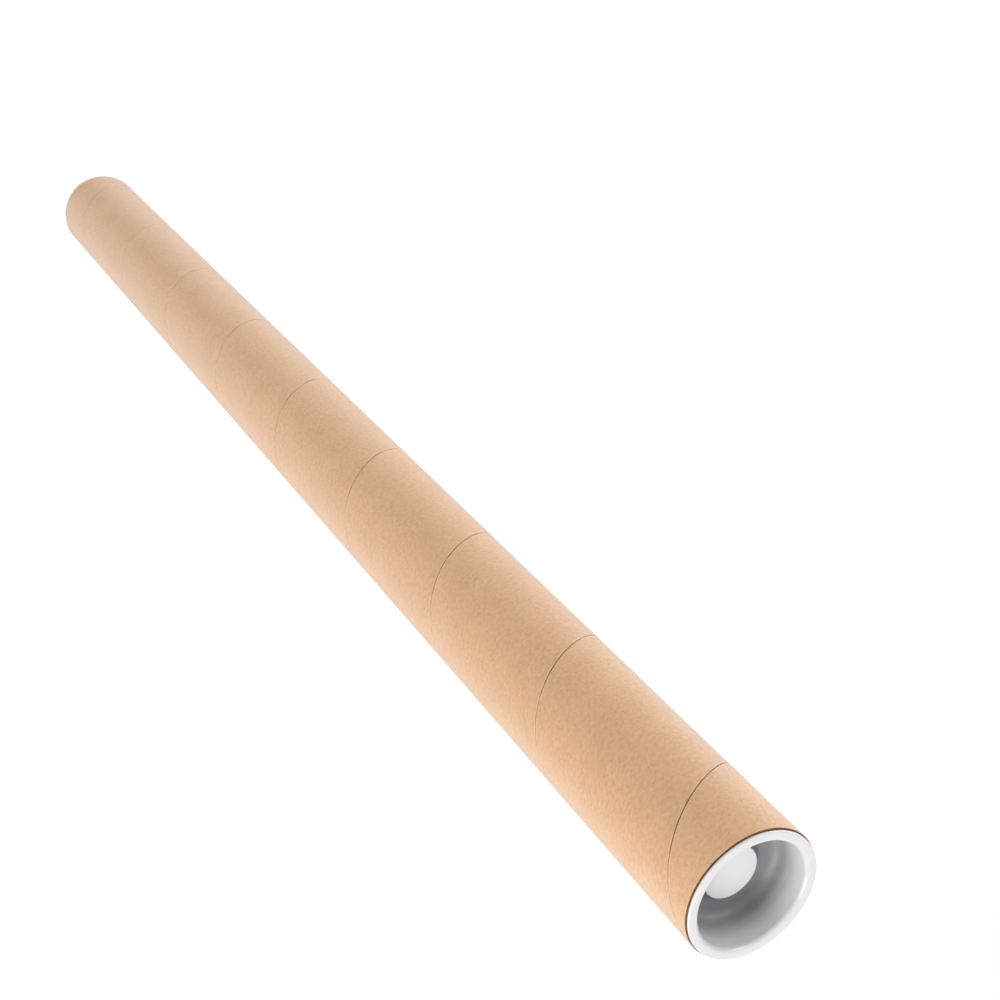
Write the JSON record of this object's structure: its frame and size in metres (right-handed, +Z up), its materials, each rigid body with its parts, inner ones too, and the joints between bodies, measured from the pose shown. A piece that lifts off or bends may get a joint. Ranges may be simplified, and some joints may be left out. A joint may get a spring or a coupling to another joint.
{
  "type": "cardboard mailing tube",
  "caption": "Long round mailing tube of spirally wound kraft board, standing on end, with a white recessed push-in plastic cap in each end.",
  "frame": {"origin": "on the tube's axis at the lowest point, the outer face of the lower cap's flange", "axes": "+Z up along the tube's axis, from the lower cap to the upper cap; -Y faces the side that the picture shows"},
  "size_m": [0.05, 0.0498, 0.7532],
  "materials": {
    "kraft_board": "uncoated natural kraft paper, dry and slightly fibrous",
    "cap_plastic": "smooth moulded, slightly translucent white"
  },
  "bodies": {
    "tube": {"tube": "kraft_board"},
    "top_cap": {"top_cap": "cap_plastic"},
    "bottom_cap": {"bottom_cap": "cap_plastic"}
  },
  "joints": [
    {"name": "top_cap_pull", "type": "slide", "parent": "tube", "child": "top_cap", "axis": [0, 0, 1], "range_m": [0, 0.03]},
    {"name": "bottom_cap_pull", "type": "slide", "parent": "tube", "child": "bottom_cap", "axis": [0, 0, -1], "range_m": [0, 0.03]}
  ]
}
